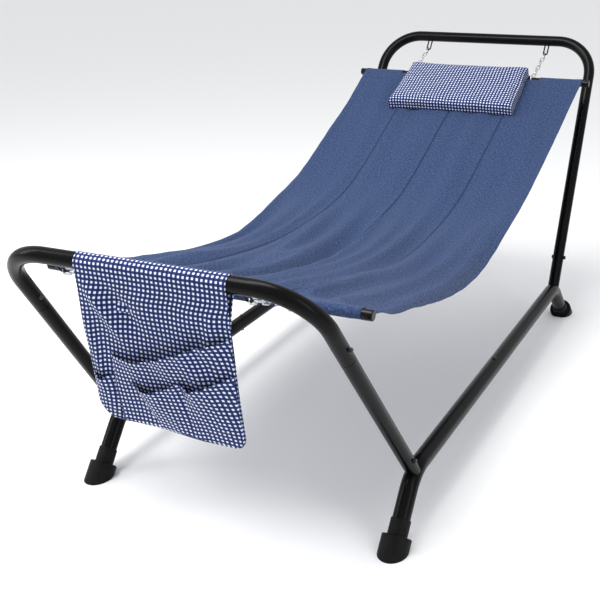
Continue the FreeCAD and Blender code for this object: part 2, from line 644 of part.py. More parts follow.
stations = [size("bed_half_width") * share for share in (-1.0, -0.75, -0.4, 0.0, 0.4, 0.75, 1.0)]
bed_shape = Part.makeLoft([bed_section(x) for x in stations], True, False)
for axis in (head_axis, foot_axis):
    start = place(-size("bed_half_width") - 10, axis.y, axis.z)
    bed_shape = bed_shape.cut(Part.makeCylinder(sleeve_inner, 2 * size("bed_half_width") + 20, start,
                                                Vector(1, 0, 0)))
    for _, side in SIDES:
        notch, deep = size("notch_width"), size("notch_depth")
        low = place(side * size("hanger_spacing") - notch / 2, axis.y - deep, axis.z - deep)
        bed_shape = bed_shape.cut(Part.makeBox(notch, 2 * deep, 2 * deep, low))
for _, side in SIDES:
    wide = size("bed_half_width")
    corners = [(wide + 1, -450), (size("bed_foot_half"), foot_axis.y - 15), (wide + 60, foot_axis.y - 60),
               (wide + 60, -450)]
    corners.insert(2, (size("bed_foot_half"), foot_axis.y - 60))
    outline = [place(side * x, y, 300) for x, y in corners]
    wedge = Part.Face(Part.makePolygon(outline + outline[:1])).extrude(Vector(0, 0, 400))
    bed_shape = bed_shape.cut(wedge)
sling = document.addObject("Part::Feature", "sling")
sling.Label = "sling"
sling.Shape = bed_shape.Solids[0]
kept.append(sling)

# ---------------------------------------------------------------- pillow

PILLOW_TILT = 24.0
pillow = new_body("pillow")
outline = new_sketch(pillow, "pillow_outline", "XY_Plane")
half_width, depth = size("pillow_width") / 2, size("pillow_depth")
add_polygon(outline, [(-half_width, -depth), (half_width, -depth), (half_width, 0), (-half_width, 0)])
block = add_pad(pillow, outline, "<pillow_thickness>")
document.recompute()
rounded = pillow.newObject("PartDesign::Fillet", "pillow_edges")
rounded.Base = (block, [f"Edge{number + 1}" for number in range(len(block.Shape.Edges))])
bind(rounded, "Radius", "<pillow_round>")
pillow_back = place(0, head_axis.y + 1.0, head_axis.z + sleeve_inner + cloth + 4.4)
pillow.Placement = Placement(pillow_back, Rotation(Vector(1, 0, 0), PILLOW_TILT))
kept.append(pillow)

for word, side in SIDES:
    strap = new_body(f"pillow_strap_{word}")
    around = size("spreader_diameter") / 2 + 0.35
    band = new_sketch(strap, f"strap_{word}_band", "YZ_Plane")
    band.addGeometry(Part.Circle(Vector(0, 0, 0), Vector(0, 0, 1), around + 1.2))
    band.addGeometry(Part.Circle(Vector(0, 0, 0), Vector(0, 0, 1), around))
    add_pad(strap, band, "<strap_width>", symmetric=True)
    tab = new_sketch(strap, f"strap_{word}_tab", "YZ_Plane")
    add_polygon(tab, [(-3.5, around - 0.2), (2.5, around - 0.1), (2.5, around + 5.2), (-3.5, around + 3.8)])
    add_pad(strap, tab, "<strap_width>", symmetric=True)
    strap.Placement = Placement(place(side * size("strap_place"), head_axis.y, head_axis.z), Rotation())
    kept.append(strap)

# ---------------------------------------------------------------- storage caddy on the foot bar

sheet_cloth = 1.6
over_bar = size("bow_diameter") / 2 + 0.35
join, drop_end = -size("caddy_join"), -size("caddy_drop")


def hang_line(height):
    """How far the hanging panel's middle plane lies behind the bar's axis at a height below it."""
    share = (height - join) / (drop_end - join)
    return -6.0 + 38.0 * share


def tangent_point(point, radius, side):
    """Where a straight ply from a point below the bar meets a circle round the bar."""
    reach = math.atan2(point[1], point[0]) + side * math.acos(radius / math.hypot(*point))
    return radius * math.cos(reach), radius * math.sin(reach)


def build_panel():
    """The back sheet: over the bar, down in front and behind, sewn together, then one hanging panel."""
    body = new_body("caddy_panel")
    loop = new_sketch(body, "caddy_loop", "YZ_Plane")
    seam, hem = hang_line(join), hang_line(drop_end)
    half = sheet_cloth / 2
    low_points = {over_bar: ((seam + half, join + 8), (seam + half, join + 8)),
                  over_bar + sheet_cloth: ((seam - half, join), (seam + sheet_cloth, join - 4))}
    ends = {}
    for radius, (front, back) in low_points.items():
        start, finish = tangent_point(back, radius, 1), tangent_point(front, radius, -1)
        ends[radius] = (finish, start)
        arc = Part.Arc(Vector(*start, 0), Vector(0, radius, 0), Vector(*finish, 0))
        loop.addGeometry(arc)
    outer, inner = ends[over_bar + sheet_cloth], ends[over_bar]
    chain = [outer[0], (seam - half, join), (hem - half, drop_end), (hem + half, drop_end),
             (seam + sheet_cloth, join - 4), outer[1]]
    lining = [inner[0], (seam + half, join + 8), inner[1]]
    for line in (chain, lining):
        for start, finish in zip(line, line[1:]):
            loop.addGeometry(Part.LineSegment(Vector(*start, 0), Vector(*finish, 0)))
    add_pad(body, loop, "<caddy_width>", symmetric=True)
    return body


PANEL_FACE = sheet_cloth / 2 + 0.3


def pocket_front(knots, x, height, mouth, bottom):
    """How far a pocket's front stands off the panel, by straight lines between its mouth and its bottom."""
    share = (bottom + height) / (bottom - mouth)
    for (x0, gap0), (x1, gap1) in zip(knots, knots[1:]):
        if x0 <= x <= x1:
            gap = gap0 + (gap1 - gap0) * (x - x0) / (x1 - x0)
            return gap * share
    return 0.0


def add_pocket_wall(name, rows, mouth, bottom):
    """A pocket's wall, lofted from its bottom to its mouth: each row gives (x, stand-off) from left to right."""
    body = new_body(name)
    sketches = []
    for label, height, knots in (("mouth", -mouth, rows[0]), ("bottom", -bottom, rows[1])):
        sketch = new_sketch(body, f"{name}_{label}", "XY_Plane", Placement(Vector(0, 0, height), Rotation()))
        back = hang_line(height) - PANEL_FACE
        outer = [(x, back - gap - sheet_cloth) for x, gap in knots]
        inner = [(x, back - gap) for x, gap in knots[1:-1]]
        left, right = knots[0][0], knots[-1][0]
        start = [(left + sheet_cloth, back - knots[0][1])]
        finish = [(right - sheet_cloth, back - knots[-1][1])]
        tabs_left = [(left + sheet_cloth, back - ROOTS[name](left, height)), (left, back - ROOTS[name](left, height))]
        tabs_right = [(right, back - ROOTS[name](right, height)),
                      (right - sheet_cloth, back - ROOTS[name](right, height))]
        add_polygon(sketch, outer + tabs_right + finish + list(reversed(inner)) + start + tabs_left)
        sketches.append(sketch)
    loft = body.newObject("PartDesign::AdditiveLoft", f"{name}_wall")
    loft.Profile = sketches[0]
    loft.Sections = [sketches[1]]
    loft.Ruled = True
    return body


def slant_mouth(body, left, right, high, low):
    """Cuts a pocket's mouth on a slant, from low at its left end to high at its right end."""
    cut = new_sketch(body, f"{body.Name}_mouth_cut", "XZ_Plane")
    rise = (low - high) / (right - left)
    add_polygon(cut, [(left - 5, -low - 5 * rise), (right, -high), (right + 5, -high), (right + 5, -high + 20),
                      (left - 5, -high + 20)])
    add_pocket(body, cut, "8 * <bow_diameter>")


half_caddy = size("caddy_width") / 2
split = size("pocket_split") - size("caddy_centre")
EDGE = 4.5
main_mouth, front_mouth, side_mouth = size("main_mouth"), size("front_mouth"), size("side_mouth")
bottom = size("caddy_drop") - 1
deep = size("main_depth")
main_knots = [(split, EDGE), (split + 34, deep), (half_caddy - 34, deep), (half_caddy, EDGE)]
main_foot = [(x, 0.4 + 0.2 * (gap > EDGE)) for x, gap in main_knots]


def on_panel(x, height):
    return 0.0


def on_main(x, height):
    """The main pocket's front face, which carries the two front pockets."""
    return pocket_front(main_knots, x, height, main_mouth, bottom) + sheet_cloth + 1.3


ROOTS = {"caddy_main_pocket": on_panel, "caddy_side_pocket": on_panel, "caddy_front_pockets": on_main}
puff = size("front_depth")
front_mouth_knots = [(split + 41, 1.8), (split + 56, puff), (32, puff), (44, 1.8), (56, puff),
                     (half_caddy - 34, puff), (half_caddy - 1, 1.8)]
front_foot_knots = [(split + 86, 1.8), (split + 90, 1.9), (42, 1.9), (56, 1.8), (60, 1.9),
                    (half_caddy - 34, 1.9), (half_caddy - 1, 1.8)]
front_rows = []
for height, knots in ((-front_mouth, front_mouth_knots), (-bottom, front_foot_knots)):
    front_rows.append([(x, on_main(x, height) + gap) for x, gap in knots])
side_knots = [(-half_caddy, EDGE), (-half_caddy + 14, size("side_depth")), (split - 14, size("side_depth")),
              (split - 3, EDGE)]
side_foot = [(x, 0.4 + 0.2 * (gap > EDGE)) for x, gap in side_knots]
caddy_bodies = [
    build_panel(),
    add_pocket_wall("caddy_main_pocket", (main_knots, main_foot), main_mouth, bottom),
    add_pocket_wall("caddy_front_pockets", front_rows, front_mouth, bottom),
    add_pocket_wall("caddy_side_pocket", (side_knots, side_foot), side_mouth, bottom),
]
slant_mouth(caddy_bodies[1], split, half_caddy, main_mouth, size("main_low"))
slant_mouth(caddy_bodies[2], split + 41, half_caddy, front_mouth, size("front_low"))
for body in caddy_bodies:
    body.Placement = Placement(place(size("caddy_centre"), size("foot_bar_place"), size("foot_bar_height")),
                               Rotation())
    kept.append(body)

# ---------------------------------------------------------------- check and write

document.recompute()
faults = [item.Name for item in document.Objects if {"Invalid", "Error"} & set(item.State)]
if faults:
    raise RuntimeError(f"objects that failed: {faults}")
for item in kept:
    if item.Shape.isNull() or not item.Shape.isValid() or not item.Shape.Solids:
        raise RuntimeError(f"{item.Label} has no valid solid")

os.makedirs("parts", exist_ok=True)
whole = FreeCAD.BoundBox()
for item in kept:
    item.Shape.exportStep(f"parts/{item.Label}.step")
    whole.add(item.Shape.optimalBoundingBox(False))
    print(f"{item.Label:26s} solids {len(item.Shape.Solids)}  volume {item.Shape.Volume / 1000:9.2f} cm3")
print("box", [round(value, 2) for value in (whole.XMin, whole.XMax, whole.YMin, whole.YMax, whole.ZMin, whole.ZMax)])
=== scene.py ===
import bmesh
import bpy
import math

from mathutils import Matrix, Vector, noise


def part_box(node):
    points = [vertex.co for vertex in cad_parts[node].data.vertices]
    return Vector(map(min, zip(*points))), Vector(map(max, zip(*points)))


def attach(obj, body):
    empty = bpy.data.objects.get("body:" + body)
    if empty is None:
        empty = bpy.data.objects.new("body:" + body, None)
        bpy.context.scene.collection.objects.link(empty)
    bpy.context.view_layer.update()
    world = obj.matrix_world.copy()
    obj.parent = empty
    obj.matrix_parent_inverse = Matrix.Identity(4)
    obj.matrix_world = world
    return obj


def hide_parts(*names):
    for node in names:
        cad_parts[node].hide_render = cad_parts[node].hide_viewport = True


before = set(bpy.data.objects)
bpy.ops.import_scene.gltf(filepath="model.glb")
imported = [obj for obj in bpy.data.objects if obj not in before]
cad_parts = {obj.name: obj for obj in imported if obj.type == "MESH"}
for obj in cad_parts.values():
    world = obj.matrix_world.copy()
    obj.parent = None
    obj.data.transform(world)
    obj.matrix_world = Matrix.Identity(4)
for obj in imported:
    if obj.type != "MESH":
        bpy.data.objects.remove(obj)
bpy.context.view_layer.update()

# ---------------------------------------------------------------- camera, ground and studio light
# A long lens to the right of the foot end, looking down along the bed. The ground is plain pale
# paper, lit by a bright dome, a long softbox overhead and a narrow panel at each side.
CAMERA_AZIMUTH, CAMERA_ELEVATION, CAMERA_ROLL = 0.4650, 0.3630, -0.0200
CAMERA_PLACE = Vector((1.0246, -2.4388, 1.2456))
FOCAL_LENGTH, SENSOR = 63.69, 36.0
GROUND_SIZE, GROUND_DROP = 40, 0.0005
DOME_STRENGTH = 0.82


def studio():
    camera = bpy.data.objects.new("camera", bpy.data.cameras.new("camera"))
    bpy.context.collection.objects.link(camera)
    back = Vector((math.sin(CAMERA_AZIMUTH) * math.cos(CAMERA_ELEVATION),
                   -math.cos(CAMERA_AZIMUTH) * math.cos(CAMERA_ELEVATION), math.sin(CAMERA_ELEVATION)))
    right = Vector((math.cos(CAMERA_AZIMUTH), math.sin(CAMERA_AZIMUTH), 0))
    level = Matrix((right, back.cross(right), back)).transposed()
    camera.matrix_world = (Matrix.Translation(CAMERA_PLACE) @ level.to_4x4()
                           @ Matrix.Rotation(CAMERA_ROLL, 4, "Z"))
    camera.data.lens, camera.data.sensor_width = FOCAL_LENGTH, SENSOR
    bpy.context.scene.camera = camera

    bpy.ops.mesh.primitive_plane_add(size=GROUND_SIZE, location=(0, 0, -GROUND_DROP))
    ground = bpy.context.object
    ground.name = "ground"
    paper = bpy.data.materials.new("ground_paper")
    paper.use_nodes = True
    shader = paper.node_tree.nodes["Principled BSDF"]
    shader.inputs["Base Color"].default_value = (0.95, 0.95, 0.95, 1)
    shader.inputs["Roughness"].default_value = 0.9
    ground.data.materials.append(paper)

    world = bpy.data.worlds.new("studio_dome")
    world.use_nodes = True
    sky = world.node_tree.nodes["Background"]
    sky.inputs["Color"].default_value = (0.97, 0.98, 1.0, 1)
    sky.inputs["Strength"].default_value = DOME_STRENGTH
    bpy.context.scene.world = world
    bpy.context.scene.view_settings.view_transform = "Standard"
    for name, place, aim, width, height, power in (
            ("overhead", (-0.5, -1.05, 3.0), (0, -0.6, 0.4), 1.1, 2.2, 92),
            ("left_panel", (-2.8, -1.7, 2.1), (0, -0.2, 0.4), 0.5, 2.4, 32),
            ("right_panel", (3.0, -1.6, 1.9), (0, 0.0, 0.4), 0.4, 2.2, 18)):
        light = bpy.data.objects.new(name, bpy.data.lights.new(name, "AREA"))
        bpy.context.collection.objects.link(light)
        light.data.shape, light.data.size, light.data.size_y = "RECTANGLE", width, height
        light.data.energy = power
        light.location = place
        light.rotation_euler = (Vector(aim) - Vector(place)).to_track_quat("-Z", "Y").to_euler()


studio()

# ---------------------------------------------------------------- bent-tube stand
# Two floor rails and two bows of bent steel tube, welded, swaged and bolted together, then powder
# coated black: a satin skin with a fine orange peel and a few pale rubs where the tubes are handled.


class Value:
    """A socket of a material, on which sums add Math nodes."""

    def __init__(self, finish, socket):
        self.finish, self.socket = finish, socket

    def math(self, operation, *others):
        return self.finish.node("ShaderNodeMath", {"operation": operation}, [self, *others])

    def __add__(self, other):
        return self.math("ADD", other)

    def __sub__(self, other):
        return self.math("SUBTRACT", other)

    def __rsub__(self, other):
        return self.finish.node("ShaderNodeMath", {"operation": "SUBTRACT"}, [other, self])

    def __mul__(self, other):
        return self.math("MULTIPLY", other)

    def __truediv__(self, other):
        return self.math("DIVIDE", other)

    __radd__, __rmul__ = __add__, __mul__

    def clamped(self):
        return self.finish.node("ShaderNodeClamp", {}, [self])

    def sine(self, pitch):
        """A wave from 0 to 1 with this pitch, along a length in metres."""
        return (self * (2 * math.pi / pitch)).math("SINE") * 0.5 + 0.5


class Finish:
    """A material of one Principled shader, with a method that adds any node."""

    def __init__(self, name, **constants):
        self.material = bpy.data.materials.new(name)
        self.material.use_nodes = True
        self.tree = self.material.node_tree
        self.shader = self.tree.nodes["Principled BSDF"]
        self.set(**constants)

    def set(self, **inputs):
        for word, value in inputs.items():
            self.feed(self.shader.inputs[word.replace("_", " ").title().replace("Ior", "IOR")], value)

    def feed(self, socket, value):
        if isinstance(value, Value):
            self.tree.links.new(value.socket, socket)
        elif isinstance(value, tuple) and len(value) == 3 and socket.type == "RGBA":
            socket.default_value = (*value, 1)
        else:
            socket.default_value = value

    def node(self, kind, settings=(), inputs=(), output=0):
        made = self.tree.nodes.new(kind)
        for word, value in dict(settings).items():
            if word == "stops":
                ramp = made.color_ramp
                while len(ramp.elements) < len(value):
                    ramp.elements.new(0.5)
                for element, (position, colour) in zip(ramp.elements, value):
                    element.position, element.color = position, (*colour, 1)
            else:
                setattr(made, word, value)
        for key, value in (inputs.items() if isinstance(inputs, dict) else enumerate(inputs)):
            self.feed(made.inputs[key], value)
        return Value(self, made.outputs[output])

    def place(self):
        """The point on the piece, in metres."""
        return self.node("ShaderNodeTexCoord", output="Object")

    def cloth_place(self):
        """The point on the cloth, from the piece's own map in metres."""
        return self.node("ShaderNodeUVMap", {"uv_map": "cloth"})

    def across_and_along(self, point):
        """The first two parts of a point, each as a number in metres."""
        outputs = self.node("ShaderNodeSeparateXYZ", {}, [point]).socket.node.outputs
        return Value(self, outputs[0]), Value(self, outputs[1])

    def stretched(self, point, scale):
        return self.node("ShaderNodeVectorMath", {"operation": "MULTIPLY"}, [point, scale])

    def noise(self, point, scale, detail=2.0, roughness=0.5):
        return self.node("ShaderNodeTexNoise", {},
                         {"Vector": point, "Scale": scale, "Detail": detail, "Roughness": roughness})

    def ramp(self, value, *stops):
        return self.node("ShaderNodeValToRGB", {"stops": stops}, [value])

    def blend(self, factor, first, second):
        return self.node("ShaderNodeMix", {"data_type": "RGBA"}, {0: factor, 6: first, 7: second}, output=2)

    def bump(self, height, depth, strength=1.0):
        """A Bump node whose height runs from 0 to 1 over this depth in metres."""
        self.set(normal=self.node("ShaderNodeBump", {}, {"Strength": strength, "Distance": depth,
                                                         "Height": height}))

    def finish_nodes(self, *names):
        for name in names:
            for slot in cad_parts[name].material_slots:
                slot.link = "OBJECT"
                slot.material = self.material


def powder_coat(name, gloss):
    coat = Finish(name, metallic=0.0, specular_ior_level=0.09)
    point = coat.place()
    cloud = coat.noise(point, 9.0, 3.0)
    dust = coat.noise(point, 260.0, 4.0, 0.7)
    rub = coat.ramp(coat.noise(point, 38.0, 6.0, 0.75), (0.62, (0, 0, 0)), (0.80, (1, 1, 1)))
    black = coat.ramp(cloud + dust * 0.25, (0.35, (0.0010, 0.0010, 0.0012)), (0.95, (0.0036, 0.0036, 0.0042)))
    coat.set(base_color=coat.blend(rub * 0.35, black, (0.010, 0.010, 0.011)),
             roughness=gloss + cloud * 0.07 + dust * 0.06 - rub * 0.05)
    coat.bump(coat.noise(point, 520.0, 2.0, 0.6), 0.00025, 0.35)
    return coat


tube_coat = powder_coat("stand_powder_coat", 0.19)
tube_coat.finish_nodes("foot_bow", "head_bow", "foot_leg_left", "foot_leg_right", "rail_front_left",
                       "rail_front_right", "rail_rear_left", "rail_rear_right")

# ---------------------------------------------------------------- feet
# Moulded black feet: a collar gripped on the tube, a wider cup and a flat sole, in a matt rubbery
# plastic with a fine spark-eroded texture.
foot_skin = Finish("foot_moulded_rubber", metallic=0.0, specular_ior_level=0.12)
point = foot_skin.place()
grain = foot_skin.noise(point, 900.0, 3.0, 0.6)
scuff = foot_skin.noise(point, 60.0, 5.0, 0.7)
foot_black = foot_skin.ramp(scuff, (0.40, (0.0020, 0.0020, 0.0024)), (0.75, (0.0075, 0.0075, 0.008)))
foot_skin.set(base_color=foot_black, roughness=0.42 + scuff * 0.22)
foot_skin.bump(grain + scuff * 0.5, 0.0003, 0.5)
foot_skin.finish_nodes("foot_cap_front_left", "foot_cap_front_right",
                       "foot_cap_rear_left", "foot_cap_rear_right")

# ---------------------------------------------------------------- bolts and nuts
# Domed screws pushed across the slid-together tube joints and held by hexagon nuts, in steel that is
# blackened and lightly oiled.
bolt_black = Finish("bolt_black_oxide", metallic=0.85)
point = bolt_black.place()
worn = bolt_black.noise(point, 420.0, 4.0, 0.7)
oxide = bolt_black.ramp(worn, (0.35, (0.022, 0.022, 0.024)), (0.75, (0.075, 0.075, 0.08)))
bolt_black.set(base_color=oxide, roughness=0.26 + worn * 0.25)
bolt_black.bump(worn, 0.00012, 0.4)
bolt_black.finish_nodes("bow_bolts", "rail_bolts", "bow_nuts", "rail_nuts")

# ---------------------------------------------------------------- hanger eyes, chains and rings
# Bent-rod eyes welded under the bows and painted with them, and welded zinc-plated chain of six
# links to a ring round each spreader bar.
eye_coat = powder_coat("eye_powder_coat", 0.30)
eye_coat.finish_nodes("eye_head_left", "eye_head_right", "eye_foot_left", "eye_foot_right")

zinc = Finish("chain_zinc_plate", metallic=1.0)
point = zinc.place()
spangle = zinc.noise(point, 700.0, 4.0, 0.65)
film = zinc.noise(point, 90.0, 3.0)
plate = zinc.ramp(film * 0.6 + spangle * 0.4, (0.30, (0.50, 0.52, 0.55)), (0.70, (0.82, 0.83, 0.84)))
zinc.set(base_color=plate, roughness=0.17 + spangle * 0.22)
zinc.bump(spangle, 0.00012, 0.35)
for end in ("head", "foot"):
    for side in ("left", "right"):
        zinc.finish_nodes(f"chain_{end}_{side}", f"ring_{end}_{side}")

# ---------------------------------------------------------------- spreader bars
# A steel tube across each end of the bed, painted like the stand and slid through the bed's sleeve,
# with a glossy push-on plastic cap on each tip.
bar_coat = powder_coat("spreader_powder_coat", 0.26)
bar_coat.finish_nodes("spreader_head", "spreader_foot")
cap_gloss = Finish("spreader_cap_gloss", metallic=0.0, specular_ior_level=0.15)
point = cap_gloss.place()
haze = cap_gloss.noise(point, 130.0, 4.0, 0.6)
cap_black = cap_gloss.ramp(haze, (0.4, (0.003, 0.003, 0.004)), (0.8, (0.009, 0.009, 0.010)))
cap_gloss.set(base_color=cap_black, roughness=0.12 + haze * 0.16)
cap_gloss.bump(haze, 0.0002, 0.25)
for end in ("head", "foot"):
    cap_gloss.finish_nodes(f"spreader_cap_{end}_left", f"spreader_cap_{end}_right")

# ---------------------------------------------------------------- the bed
# One long sheet of heathered blue cloth, sewn from four lengthwise panels with hemmed sides. Each
# end runs over its spreader bar and back underneath, stitched as a sleeve, notched for the rings.
BED_CLOTH = 0.0011
BED_HALF = 0.344
SLEEVE_RADIUS, SLEEVE_TURN, SLEEVE_STEPS = 0.0106, 1.78 * math.pi, 18
SLEEVE_RETURN = 0.052
NOTCH_HALF, NOTCH_REACH = 0.022, 0.0185
HANGER = 0.196
HEM = 0.016


def middle(node):
    low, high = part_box(node)
    return (Vector(low) + Vector(high)) / 2


def smooth_line(points, step):
    """Points about `step` apart on a Catmull-Rom curve through the given points."""
    padded = [points[0] * 2 - points[1], *points, points[-1] * 2 - points[-2]]
    line = []
    for before, start, finish, after in zip(padded, padded[1:], padded[2:], padded[3:]):
        count = max(2, round((finish - start).length / step))
        for number in range(count):
            t = number / count
            line.append((start * 2 + (finish - before) * t
                         + (before * 2 - start * 5 + finish * 4 - after) * t ** 2
                         + (start * 3 - before - finish * 3 + after) * t ** 3) / 2)
    return line + [points[-1]]


def ease(value, low, high):
    """0 below low, 1 above high, and a smooth step between; low may be above high."""
    share = min(max((value - low) / (high - low), 0.0), 1.0)
    return share * share * (3 - 2 * share)


def grid_object(name, rows, removed=(), cloth=0.001, uvs=None):
    """A sheet from rows of points, with a uv layer in metres and a thickness from Solidify."""
    width = len(rows[0])
    mesh = bpy.data.meshes.new(name)
    faces = []
    for row in range(len(rows) - 1):
        for column in range(width - 1):
            if (row, column) not in removed:
                corner = row * width + column
                faces.append((corner, corner + 1, corner + width + 1, corner + width))
    mesh.from_pydata([tuple(point) for row in rows for point in row], [], faces)
    layer = mesh.uv_layers.new(name="cloth")
    flat = [spot for row in uvs for spot in row]
    for loop in mesh.loops:
        layer.data[loop.index].uv = flat[loop.vertex_index]
    mesh.polygons.foreach_set("use_smooth", [True] * len(mesh.polygons))
    piece = bpy.data.objects.new(name, mesh)
    bpy.context.collection.objects.link(piece)
    work = bmesh.new()
    work.from_mesh(mesh)
    bmesh.ops.delete(work, geom=[vertex for vertex in work.verts if not vertex.link_faces], context="VERTS")
    work.to_mesh(mesh)
    work.free()
    thickness = piece.modifiers.new("cloth", "SOLIDIFY")
    thickness.thickness, thickness.offset = cloth, 0.0
    apply_modifiers(piece)
    return piece


def apply_modifiers(piece):
    bpy.ops.object.select_all(action="DESELECT")
    bpy.context.view_layer.objects.active = piece
    piece.select_set(True)
    for modifier in list(piece.modifiers):
        bpy.ops.object.modifier_apply(modifier=modifier.name)
    piece.select_set(False)


head_bar, foot_bar = middle("spreader_head"), middle("spreader_foot")

# The lengths along the bed and the caddy that follow are laid off from this place in the frame.
SHIFT = -0.0150
bed_line = [(-0.600, 0.5035), (-0.480, 0.4790), (-0.360, 0.4555), (-0.260, 0.4400), (-0.150, 0.4310),
            (-0.045, 0.4310), (0.060, 0.4385), (0.150, 0.4500), (0.240, 0.4685), (0.320, 0.4930),
            (0.400, 0.5235), (0.500, 0.5645), (0.600, 0.6080), (0.720, 0.6555)]
bed_line = [Vector((0, y + SHIFT, z)) for y, z in bed_line]


def sleeve_path(bar, slope, way):
    """From the top of the sheet round the far side of the bar to just below the sheet again."""
    up = Vector((0, -math.sin(slope), math.cos(slope)))
    out = Vector((0, math.cos(slope), math.sin(slope))) * way
    points = []
    for number in range(1, SLEEVE_STEPS + 1):
        turn = SLEEVE_TURN * number / SLEEVE_STEPS
        points.append(bar + up * math.cos(turn) * SLEEVE_RADIUS + out * math.sin(turn) * SLEEVE_RADIUS)
    return points, bar + up * SLEEVE_RADIUS


head_slope, foot_slope = math.radians(21.5), math.radians(-13.0)
head_wrap, head_top = sleeve_path(head_bar, head_slope, 1)
foot_wrap, foot_top = sleeve_path(foot_bar, foot_slope, -1)
MESH_STEP, SMOOTHINGS = 0.0072, 60
main_run = smooth_line([foot_top, *bed_line, head_top], MESH_STEP)
for _ in range(SMOOTHINGS):
    main_run[1:-1] = [(before + here * 2 + after) / 4
                      for before, here, after in zip(main_run, main_run[1:], main_run[2:])]

FLAP_START = 0.014
FLAP_UNDER, FLAP_PINCH = 0.0016, 0.0032


def return_flap(run, from_end):
    """The end of the sheet, back under the bed as far as its stitch line."""
    walked, points = 0.0, []
    ordered = list(reversed(run)) if from_end else run
    for here, following in zip(ordered, ordered[1:]):
        walked += (following - here).length
        if FLAP_START < walked <= SLEEVE_RETURN:
            tangent = (following - here).normalized()
            normal = Vector((0, -tangent.z, tangent.y))
            normal = normal if normal.z > 0 else -normal
            share = ease(walked, 0.010, 0.030)
            points.append(following - normal * (FLAP_PINCH * (1 - share) + FLAP_UNDER))
    return points


head_flap = return_flap(main_run, True)
foot_flap = return_flap(main_run, False)
path = list(reversed(foot_flap)) + list(reversed(foot_wrap)) + main_run + head_wrap + head_flap
main_start = len(foot_flap) + len(foot_wrap)
main_end = main_start + len(main_run) - 1

SEAMS = (-0.485, 0.0, 0.485)
FINE_COLUMN, WIDE_COLUMN, FINE_ZONE = 0.0055, 0.021, 0.03
columns, here = [-1.0], -1.0
while here < 1.0:
    near = min([abs(here - seam) for seam in SEAMS] + [1.0 - abs(here)])
    here += FINE_COLUMN if near < FINE_ZONE else WIDE_COLUMN
    columns.append(min(here, 1.0))
notch_lines = [side * (HANGER + edge * NOTCH_HALF) / BED_HALF for side in (-1, 1) for edge in (-1, 1)]
for line in notch_lines:
    nearest = min(range(len(columns)), key=lambda index: abs(columns[index] - line))
    columns[nearest] = line

WIDTHS = ((-0.83, 0.337), (-0.60, 0.340), (-0.30, 0.342), (0.0, 0.341), (0.35, 0.341),
          (0.62, 0.345), (0.86, 0.352))


def half_width(y):
    """Half the bed's width this far along it."""
    for (y0, w0), (y1, w1) in zip(WIDTHS, WIDTHS[1:]):
        if y < y1:
            return w0 + (w1 - w0) * ease(y, y0, y1)
    return WIDTHS[-1][1]


def dish(u, y):
    """The dip across the low part of the bed, and the slight crown up its back."""
    dip = ease(y, -0.815, -0.60) * ease(y, 0.24, -0.14)
    flat_end = ease(y, 0.06, 0.38) * ease(y, 0.80, 0.60)
    lift = dip * (0.065 * u ** 2 - 0.095 * u ** 4) + flat_end * (-0.0258 * u ** 2 + 0.0178 * u ** 4)
    return lift - 0.017 * ease(abs(u), 0.78, 1.0) * ease(y, -0.796, -0.762) * ease(y, -0.54, -0.74)


def seam_lift(u, y, loose, low_half):
    """A soft valley, a sewn line with its ridges, and puckers along each seam."""
    lift = 0.0
    for seam in SEAMS:
        away = abs(u - seam) * BED_HALF
        lift -= (0.0026 + 0.0034 * low_half) * math.exp(-(away / 0.026) ** 2) * loose
        lift -= 0.0011 * math.exp(-(away / 0.0030) ** 2)
        lift += 0.0010 * math.exp(-((away - 0.0055) / 0.0034) ** 2)
        pucker = noise.noise(Vector((y * 42, seam * 9, 3.1)))
        lift += 0.0013 * pucker * math.exp(-(away / 0.012) ** 2) * loose
    return lift


def hem_lift(u, y, loose):
    """The step of the turned hem, and the wavy edge beyond it."""
    edge = (1 - abs(u)) * BED_HALF
    wave = noise.noise(Vector((y * 21, 7.7 + u, 1.3))) * math.exp(-(edge / 0.022) ** 2)
    return 0.0009 * ease(edge, HEM + 0.002, HEM - 0.002) + 0.0020 * wave * loose


def fold_lift(u, y, loose, low_half):
    """Lengthwise folds, deepest in the low half and fanned out towards the foot bar."""
    lift = 0.0040 * noise.noise(Vector((u * 4.6 + 0.4 * y, y * 1.15, 5.2)))
    ridge = 1 - 2 * abs(noise.noise(Vector((u * 6.2 + 0.5 * math.sin(y * 2.1), y * 0.95, 9.4))))
    lift += 0.0210 * (ridge - 0.45) * low_half
    lift += 0.0110 * ease(y, -0.28, -0.66) * noise.noise(Vector((u * 12.0 - 1.5 * u * y, y * 1.9, 2.4)))
    lift += 0.0080 * ease(y, 0.0, 0.4) * noise.noise(Vector((u * 7.0 + y, y * 2.4, 6.1)))
    return lift * loose


def bed_lift(u, y, loose):
    """The sheet's rise or fall at u, from -1 to 1 across it; loose is 0 at the bars and 1 between."""
    low_half = ease(y, 0.32, -0.22)
    return (dish(u, y) + seam_lift(u, y, loose, low_half) + hem_lift(u, y, loose)
            + fold_lift(u, y, loose, low_half))


